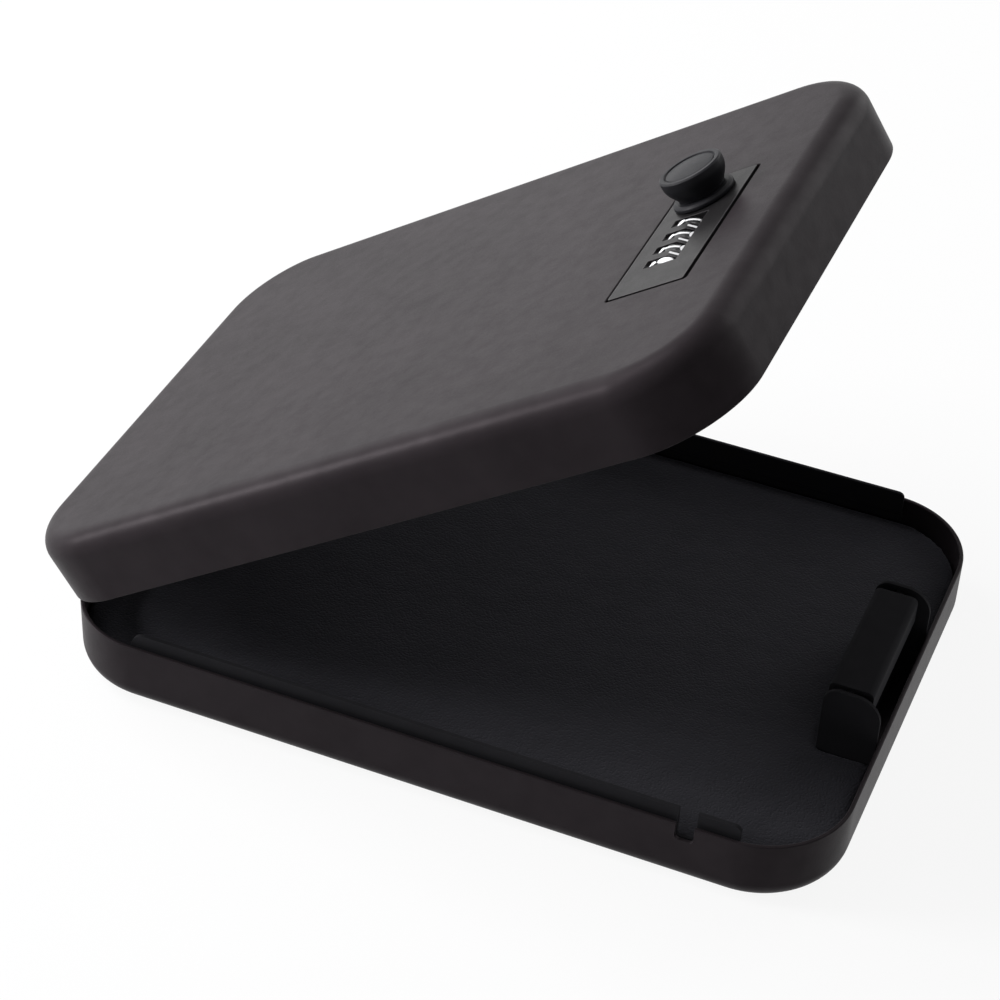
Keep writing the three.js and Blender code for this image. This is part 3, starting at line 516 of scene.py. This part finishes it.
def cutNotch(mesh):
    # the cable notch in the near rim
    half, top = notch["width"] / 2, rimPlane + notch["cutAbove"]
    bottom = rimPlane - case["rimGap"] / 2 - notch["depth"]
    outline = []
    for sign, start in ((-1, 180), (1, 270)):
        centre = (notch["x"] + sign * (half - notch["round"]), bottom + notch["round"])
        for i in range(notch["roundSteps"] + 1):
            angle = math.radians(start + i * 90 / notch["roundSteps"])
            outline.append((
                centre[0] + notch["round"] * math.cos(angle),
                centre[1] + notch["round"] * math.sin(angle),
            ))
    outline += [(notch["x"] + half, top), (notch["x"] - half, top)]
    bm = bmesh.new()
    near = addRing(bm, [(x, -case["width"] / 2 - notch["cutOutside"], z) for x, z in outline])
    far = addRing(bm, [(x, -case["width"] / 2 + notch["cutInside"], z) for x, z in outline])
    ringFaces(bm, near, far)
    bm.faces.new(near)
    bm.faces.new(far)
    cutter = bpy.data.objects.new("notchCutter", meshFrom(bm, "notchCutter"))
    bpy.context.scene.collection.objects.link(cutter)

    def cut(holder):
        modifier = holder.modifiers.new("notch", "BOOLEAN")
        modifier.operation = "DIFFERENCE"
        modifier.object = cutter
        modifier.solver = "EXACT"
    result = applyModifiers(mesh, cut)
    bpy.data.objects.remove(cutter)
    return result


def makeBaseShell():
    bm = bmesh.new()
    rings = [addRing(bm, ring) for ring in shellRings(0, rimPlane - case["rimGap"] / 2, 1)]
    for lower, upper in zip(rings, rings[1:]):
        ringFaces(bm, lower, upper)
    bm.faces.new(rings[0])
    bm.faces.new(rings[-1])
    mesh = cutNotch(meshFrom(bm, "baseShell"))
    addPiece("baseShell", mesh, shellFinish, "base", ["base_pan"])


lockOpening = {"x": 86.55, "y": -2.1, "halfX": 13.05, "halfY": 31.3, "corner": 1, "cornerSteps": 6}


def openingRing(grow, z):
    look = lockOpening
    halfX, halfY, corner = (look[key] + grow for key in ("halfX", "halfY", "corner"))
    return roundedOutline(halfX, halfY, corner, look["cornerSteps"], z, (look["x"], look["y"]))


def makeLidShell():
    bm = bmesh.new()
    top, under = case["height"], case["height"] - case["sheet"]
    rings = [addRing(bm, ring) for ring in shellRings(top, rimPlane + case["rimGap"] / 2, -1)]
    for lower, upper in zip(rings, rings[1:]):
        ringFaces(bm, lower, upper)
    soft = quarterRound(shell["openingRound"], shell["openingSteps"])
    levels = [(across, top - along) for across, along in soft] + [(0, under)]
    walls = [addRing(bm, openingRing(grow, z)) for grow, z in levels]
    for lower, upper in zip(walls, walls[1:]):
        ringFaces(bm, lower, upper)
    # an even border along both outlines of each flat keeps its shading calm
    border = shell["flatBorder"]
    for edge, mouth, z in ((rings[0], walls[0], top), (rings[-1], walls[-1], under)):
        outline = addRing(bm, caseRing(case["fillet"] + border, z))
        ringFaces(bm, edge, outline)
        hole = addRing(bm, openingRing(border + (shell["openingRound"] if z == top else 0), z))
        ringFaces(bm, mouth, hole)
        edges = [bm.edges.get((loop[i - 1], loop[i])) for loop in (outline, hole) for i in range(len(loop))]
        bmesh.ops.triangle_fill(bm, edges=edges, use_beauty=True)
    mesh = meshFrom(bm, "lidShell")
    addPiece("lidShell", mesh, shellFinish, "lid", ["lid_pan"], closedLid=True)


makeBaseShell()
makeLidShell()
print("shells drawn")


# Foam liners
foamLook = {
    "voxel": 1.5, "smoothTimes": 6, "smoothShare": 0.5, "dimple": 0.12, "dimpleScale": 160, "sink": 0.6,
    "fill": 1.0,
}


def makeLiner(node, body, closedLid):
    mesh = cadCopy(node)
    if closedLid:
        mesh.transform(lidOpen.inverted())

    def soften(holder):
        remesh = holder.modifiers.new("cut", "REMESH")
        remesh.mode = "VOXEL"
        remesh.voxel_size = foamLook["voxel"] * mm
        smooth = holder.modifiers.new("soft", "SMOOTH")
        smooth.iterations = foamLook["smoothTimes"]
        smooth.factor = foamLook["smoothShare"]
    mesh = applyModifiers(mesh, soften)
    outward = [vertex.normal.copy() for vertex in mesh.vertices]
    for vertex, normal in zip(mesh.vertices, outward):
        push = noise.noise(vertex.co * foamLook["dimpleScale"]) - foamLook["sink"]
        vertex.co += normal * push * foamLook["dimple"] * mm
    piece = addPiece(
        node + "Soft", mesh, linerFinish, body, [node], closedLid=closedLid, angle=180, even=False
    )


makeLiner("base_foam", "base", False)
makeLiner("lid_foam", "lid", True)
print("liners laid")


# Strips, strike bracket and strike bar
for node in ("near_strip", "far_strip", "strike_bracket"):
    easedPiece(node, bracketFinish, "base", ease=0.3, segments=3)
easedPiece("strike_bar", bracketFinish, "base", ease=0.25)
print("base fittings made")


# Hinge
hinge = {
    "knuckleRadius": 1.9, "leaf": 1, "leafHeight": 7.2,
    "rivets": (-39, -13, 13, 39), "rivetHead": 2.1, "rivetRise": 0.95, "rivetShank": 1.25,
    "domeAngles": (18, 36, 54, 72, 90), "tailDepth": 0.55, "tailShares": (0.8, 0.9), "rivetSides": 32,
}
easedPiece("hinge_base_leaf", bracketFinish, "base", ease=0.12)
easedPiece("hinge_lid_leaf", bracketFinish, "lid", ease=0.12)
easedPiece("hinge_pin", steelFinish, "base", ease=0.15)


def makeRivet(node, y, z, body, closedLid):
    # domed outside the leaf, flat inside the wall
    wall = -case["length"] / 2
    outside, inside = 2 * case["fitGap"] + hinge["leaf"], case["sheet"] + case["fitGap"]
    head, rise, shank = hinge["rivetHead"], hinge["rivetRise"], hinge["rivetShank"]
    small, large = (head * share for share in hinge["tailShares"])
    angles = [math.radians(degrees) for degrees in hinge["domeAngles"]]
    dome = [(head * math.sin(angle), outside + rise * math.cos(angle)) for angle in reversed(angles)]
    tail = -inside - hinge["tailDepth"]
    outline = [(0, tail), (small, tail), (large, -inside), (shank, -inside), (shank, outside)]
    outline += dome + [(0, outside + rise)]
    mesh = turnedMesh(node + "Dome", outline, (0, 0), hinge["rivetSides"])
    mesh.transform(Matrix.Translation(Vector((wall, y, z)) * mm) @ Matrix.Rotation(-math.pi / 2, 4, "Y"))
    addPiece(node + "Dome", mesh, bracketFinish, body, [node], closedLid=closedLid, even=False)


rivetDrop = hinge["knuckleRadius"] + case["runGap"] + hinge["leafHeight"] / 2
for number, y in enumerate(hinge["rivets"], 1):
    makeRivet(f"base_rivet_{number}", y, rimPlane - rivetDrop, "base", False)
    makeRivet(f"lid_rivet_{number}", y, rimPlane + rivetDrop, "lid", True)
print("hinge made")


# Lock plate, case and works
easedPiece("lock_plate", lockFinish, "lid", ease=0.25, segments=3)
easedPiece("lock_case", lockFinish, "lid", ease=0.15)
easedPiece("lock_cover", steelFinish, "lid", ease=0.2)
for node in (
    "dial_axle", "fence_bar", "detent_spring", "lock_stud_1", "lock_stud_2", "lock_nut_1", "lock_nut_2",
):
    easedPiece(node, steelFinish, "lid", ease=0.15)
for number in range(1, 5):
    easedPiece(f"cover_screw_{number}", steelFinish, "lid", ease=0.12)
    easedPiece(f"dial_sleeve_{number}", brassFinish, f"dial_{number}", ease=0.1)
easedPiece("change_lever", steelFinish, "change_lever", ease=0.2)
for node in ("spindle", "cam", "cam_washer", "cam_nut"):
    easedPiece(node, steelFinish, "knob", ease=0.2)
print("lock works made")


# Number wheels
wheel = {
    "x": 84.5, "z": 37.0, "firstY": -17.3, "pitch": 7.4, "width": 3.5, "radius": 7.6, "bore": 4.6,
    "sides": 180, "notches": 10, "notchDepth": 0.35, "land": 13, "turns": (-33, 8, 8, 3),
    "chamfer": 0.3, "chamferMiddle": (0.4, 0.3),
}
figure = {
    "height": 4.6, "width": 3.2, "weight": 0.015, "boldWeights": {"0": 0.14, "6": 0.06, "8": 0.06, "9": 0.08},
    "slimBelow": 0.4, "slimShare": 0.8, "rise": 0.03, "thickness": 0.12,
    "bandHeight": 0.3, "bandDistance": 1e-5, "curveSteps": 6,
}
wheelStep = 360 / wheel["notches"]


def addLidPiece(name, mesh, finish, body, replaced=()):
    addPiece(name, mesh, finish, body, replaced, closedLid=True, even=False)


def wheelPoint(radius, angle, y):
    # a point round the wheels' axle, in millimetres, with the lid shut
    return wheel["x"] + radius * math.cos(angle), y, wheel["z"] + radius * math.sin(angle)


def wheelRadiusAt(degrees):
    # flat-topped lands with a rounded thumb notch between each two
    off = abs(degrees % wheelStep - wheelStep / 2)
    if off <= wheel["land"]:
        return wheel["radius"]
    share = (off - wheel["land"]) / (wheelStep / 2 - wheel["land"])
    return wheel["radius"] - wheel["notchDepth"] * math.sin(share * math.pi / 2)


def makeWheel(index, y):
    half, chamfer = wheel["width"] / 2, wheel["chamfer"]
    inward, lower = (chamfer * share for share in wheel["chamferMiddle"])
    levels = [(-half, chamfer), (-half + inward, lower), (-half + chamfer, 0)]
    levels += [(-across, drop) for across, drop in reversed(levels)]
    places = [i * 360 / wheel["sides"] for i in range(wheel["sides"])]
    bm = bmesh.new()
    rings = []
    for across, drop in levels:
        ring = []
        for degrees in places:
            radius = wheelRadiusAt(degrees - wheel["turns"][index]) - drop
            ring.append(wheelPoint(radius, math.radians(degrees + 90), y + across))
        rings.append(addRing(bm, ring))
    for across in (half, -half):
        ring = [wheelPoint(wheel["bore"], math.radians(degrees + 90), y + across) for degrees in places]
        rings.append(addRing(bm, ring))
    for lower, upper in zip(rings, rings[1:] + rings[:1]):
        ringFaces(bm, lower, upper)
    node = f"dial_{index + 1}"
    name = f"numberWheel{index + 1}"
    addLidPiece(name, meshFrom(bm, name), wheelBlack, node, [node])


def flatFigure(text):
    # one figure as a flat mesh in millimetres, with its middle at the origin
    data = bpy.data.curves.new("figure", "FONT")
    data.body = text
    data.size = 1
    data.offset = figure["boldWeights"].get(text, figure["weight"])
    data.align_x = "CENTER"
    data.resolution_u = figure["curveSteps"]
    holder = bpy.data.objects.new("figure", data)
    bpy.context.scene.collection.objects.link(holder)
    bpy.context.view_layer.update()
    mesh = evaluated(holder)
    bpy.data.objects.remove(holder)
    acrosses = [vertex.co.x for vertex in mesh.vertices]
    heights = [vertex.co.y for vertex in mesh.vertices]
    middle = Vector(((min(acrosses) + max(acrosses)) / 2, (min(heights) + max(heights)) / 2, 0))
    tall, wide = max(heights) - min(heights), max(acrosses) - min(acrosses)
    narrow = figure["width"] / max(wide, figure["slimBelow"])
    for vertex in mesh.vertices:
        vertex.co = vertex.co - middle
        vertex.co.x *= narrow if wide > figure["slimBelow"] else narrow * figure["slimShare"]
        vertex.co.y *= figure["height"] / tall
    return mesh


def wrapOnWheel(flat, degrees, y, radius, name):
    # cuts a flat figure into low bands and lays it round the wheel, with its top to the hinge
    bm = bmesh.new()
    bm.from_mesh(flat)
    height = max(abs(vertex.co.y) for vertex in bm.verts)
    line = -height + figure["bandHeight"]
    while line < height:
        bmesh.ops.bisect_plane(
            bm, geom=bm.verts[:] + bm.edges[:] + bm.faces[:], dist=figure["bandDistance"],
            plane_co=(0, line, 0), plane_no=(0, 1, 0),
        )
        line += figure["bandHeight"]
    for vertex in bm.verts:
        angle = math.radians(degrees + 90) + vertex.co.y / radius
        vertex.co = Vector(wheelPoint(radius, angle, y + vertex.co.x)) * mm
    bm.normal_update()
    mesh = bpy.data.meshes.new(name)
    bm.to_mesh(mesh)
    bm.free()

    def thicken(holder):
        solid = holder.modifiers.new("paint", "SOLIDIFY")
        solid.thickness = figure["thickness"] * mm
        solid.offset = 0
    return applyModifiers(mesh, thicken)


def joinMeshes(meshes, name):
    bm = bmesh.new()
    for mesh in meshes:
        bm.from_mesh(mesh)
    return meshFrom(bm, name)


flatFigures = [flatFigure(str(number)) for number in range(wheel["notches"])]
for index, turn in enumerate(wheel["turns"]):
    y = wheel["firstY"] + index * wheel["pitch"]
    makeWheel(index, y)
    wrapped = []
    for number, flat in enumerate(flatFigures):
        degrees = turn + wheelStep / 2 - number * wheelStep
        wrapped.append(wrapOnWheel(flat, degrees, y, wheel["radius"] + figure["rise"], f"figure{number}"))
    name = f"wheelFigures{index + 1}"
    addLidPiece(name, joinMeshes(wrapped, name), figureWhite, f"dial_{index + 1}")

indexMark = {
    "length": 2.9, "width": 0.9, "round": 0.3, "roundSteps": 4, "rise": 0.03, "thickness": 0.12,
    "x": 87.7, "slope": 34, "slopeStart": 86.6,
}


def makeIndexMarks():
    # a painted dash on the sloping front of each web between two wheels
    slope, x = math.radians(indexMark["slope"]), indexMark["x"]
    z = plateTop - (x - indexMark["slopeStart"]) * math.tan(slope)
    outline = (indexMark["length"] / 2, indexMark["width"] / 2, indexMark["round"], indexMark["roundSteps"])
    marks = []
    for index in range(len(wheel["turns"]) - 1):
        y = wheel["firstY"] + (index + 0.5) * wheel["pitch"]
        bm = bmesh.new()
        low = addRing(bm, roundedOutline(*outline, indexMark["rise"] - indexMark["thickness"]))
        high = addRing(bm, roundedOutline(*outline, indexMark["rise"]))
        ringFaces(bm, low, high)
        bm.faces.new(low)
        bm.faces.new(high)
        mesh = meshFrom(bm, "mark")
        mesh.transform(Matrix.Translation(Vector((x, y, z)) * mm) @ Matrix.Rotation(slope, 4, "Y"))
        marks.append(mesh)
    addLidPiece("indexMarks", joinMeshes(marks, "indexMarks"), figureWhite, "lid")


makeIndexMarks()
print("number wheels made")


# Knob, its inlay and its collar
knobAxis = (85.6, 17.8)
collar = {
    "radius": 9.3, "height": 1.7, "bevelAcross": 0.9, "bevelShare": 0.45, "bore": 3.7,
    "sleeve": 6, "sleeveLength": 13, "ease": 0.2, "sides": 128,
}
knob = {
    "top": 10.0, "radius": 9.5, "rim": 2.0, "waist": 7.2, "waistHeight": 0.4, "flareSteps": 12,
    "edgeAcross": 0.5, "edgeDrop": 0.4, "dish": 7.9, "dishDepth": 0.6, "dishSlope": 0.3,
    "hollow": 3.9, "hollowDepth": 5.6, "ease": 0.14, "sides": 128,
}
inlay = {
    "lift": 0.1, "sideGap": 0.6, "edge": 0.25, "crown": 0.45, "crownShares": (1, 0.85, 0.7, 0.55, 0.4, 0.2),
    "ease": 0.15, "sides": 96,
}


def makeKnob():
    face = case["height"] + knob["top"]
    seat = plateTop + case["fitGap"] + collar["height"] + case["runGap"]
    low, high = seat + knob["waistHeight"], face - knob["rim"]
    flare = []
    for i in range(knob["flareSteps"] + 1):
        share = i / knob["flareSteps"]
        swell = (knob["radius"] - knob["waist"]) * math.sin(share * math.pi / 2)
        flare.append((knob["waist"] + swell, low + (high - low) * share))
    hollowTop, dishFloor = seat + knob["hollowDepth"], face - knob["dishDepth"]
    outline = [(0, hollowTop), (knob["hollow"], hollowTop), (knob["hollow"], seat), (knob["waist"], seat)]
    outline += flare + [
        (knob["radius"], face - knob["edgeDrop"]), (knob["radius"] - knob["edgeAcross"], face),
        (knob["dish"], face), (knob["dish"] - knob["dishSlope"], dishFloor), (0, dishFloor),
    ]
    mesh = turnedMesh("knobGrip", softenedOutline(outline, knob["ease"]), knobAxis, knob["sides"])
    addLidPiece("knobGrip", mesh, knobFinish, "knob", ["knob"])


def makeInlay():
    bottom = case["height"] + knob["top"] - knob["dishDepth"] + inlay["lift"]
    radius, rise = knob["dish"] - inlay["sideGap"], inlay["crown"]
    outline = [(0, bottom), (radius, bottom)]
    for share in inlay["crownShares"]:
        outline.append((radius * share, bottom + inlay["edge"] + rise * (1 - share * share)))
    outline.append((0, bottom + inlay["edge"] + rise))
    mesh = turnedMesh("knobInlay", softenedOutline(outline, inlay["ease"]), knobAxis, inlay["sides"])
    addLidPiece("knobInlay", mesh, knobFinish, "knob", ["knob_disc"])


def makeCollar():
    low = plateTop + case["fitGap"]
    high = low + collar["height"]
    bottom = low - collar["sleeveLength"]
    outline = [
        (collar["bore"], bottom), (collar["sleeve"], bottom), (collar["sleeve"], low),
        (collar["radius"], low), (collar["radius"], high - collar["height"] * collar["bevelShare"]),
        (collar["radius"] - collar["bevelAcross"], high), (collar["bore"], high),
    ]
    mesh = turnedMesh("knobCollar", softenedOutline(outline, collar["ease"]), knobAxis, collar["sides"])
    addLidPiece("knobCollar", mesh, knobFinish, "lid", ["knob_bushing"])


makeKnob()
makeInlay()
makeCollar()
print("knob turned")


# Floor, backdrop and light
studio = {
    "floorSize": 6, "floorTint": (0.86, 0.86, 0.87), "floorRoughness": 0.9, "floorWhite": 0.9,
    "worldLevel": 0.12,
    "lamps": [
        # name, place, aim, size in metres, watts
        ("leftSoftbox", (-1.03, 0, 1.23), (0, 0, 0.05), 0.9, 20),
        ("rearLeftStrip", (-1.47, 0.54, 0.33), (0, 0, 0.05), 0.7, 4.5),
        ("rearLowStrip", (-1.12, 1.12, 0.22), (0, 0, 0.05), 0.7, 1.9),
        ("farRightFill", (0.55, 1.15, 0.60), (0.05, 0, 0.02), 0.8, 5),
        ("nearLeftFill", (-1.26, -0.42, 0.46), (0, 0, 0.03), 0.35, 17),
    ],
}


def backdropRays(tree):
    # rays that see the white background: from the camera, off gloss and through glass
    path = tree.nodes.new("ShaderNodeLightPath")
    seen = path.outputs["Is Camera Ray"]
    for ray in ("Is Transmission Ray", "Is Glossy Ray"):
        either = tree.nodes.new("ShaderNodeMath")
        either.operation = "MAXIMUM"
        tree.links.new(seen, either.inputs[0])
        tree.links.new(path.outputs[ray], either.inputs[1])
        seen = either.outputs[0]
    return seen


def makeFloor():
    half = studio["floorSize"] / 2
    corners = ((-half, -half), (half, -half), (half, half), (-half, half))
    bm = bmesh.new()
    bm.faces.new([bm.verts.new((x, y, 0)) for x, y in corners])
    mesh = meshFrom(bm, "paleFloor")
    finish, tree, shader = newFinish("paleFloor")
    shader.inputs["Base Color"].default_value = (*studio["floorTint"], 1)
    shader.inputs["Roughness"].default_value = studio["floorRoughness"]
    light = tree.nodes.new("ShaderNodeEmission")
    light.inputs["Color"].default_value = (1, 1, 1, 1)
    amount = tree.nodes.new("ShaderNodeMath")
    amount.operation = "MULTIPLY"
    amount.inputs[1].default_value = studio["floorWhite"]
    tree.links.new(backdropRays(tree), amount.inputs[0])
    mix = tree.nodes.new("ShaderNodeMixShader")
    tree.links.new(amount.outputs[0], mix.inputs["Fac"])
    tree.links.new(shader.outputs["BSDF"], mix.inputs[1])
    tree.links.new(light.outputs["Emission"], mix.inputs[2])
    tree.links.new(mix.outputs["Shader"], tree.nodes["Material Output"].inputs["Surface"])
    mesh.materials.append(finish)
    floor = bpy.data.objects.new("paleFloor", mesh)
    bpy.context.scene.collection.objects.link(floor)


def makeWorld():
    world = bpy.data.worlds.new("studioWorld")
    bpy.context.scene.world = world
    world.use_nodes = True
    tree = world.node_tree
    background = tree.nodes["Background"]
    level = spread(tree, backdropRays(tree), (0, 1), (studio["worldLevel"], 1))
    background.inputs["Color"].default_value = (1, 1, 1, 1)
    tree.links.new(level, background.inputs["Strength"])


def makeLamps():
    for name, place, aim, size, watts in studio["lamps"]:
        data = bpy.data.lights.new(name, "AREA")
        data.shape = "SQUARE"
        data.size = size
        data.energy = watts
        lamp = bpy.data.objects.new(name, data)
        turn = (Vector(aim) - Vector(place)).to_track_quat("-Z", "Y").to_matrix().to_4x4()
        lamp.matrix_world = Matrix.Translation(place) @ turn
        bpy.context.scene.collection.objects.link(lamp)


makeFloor()
makeWorld()
makeLamps()
bpy.context.scene.view_settings.view_transform = "Standard"
print("studio lit")
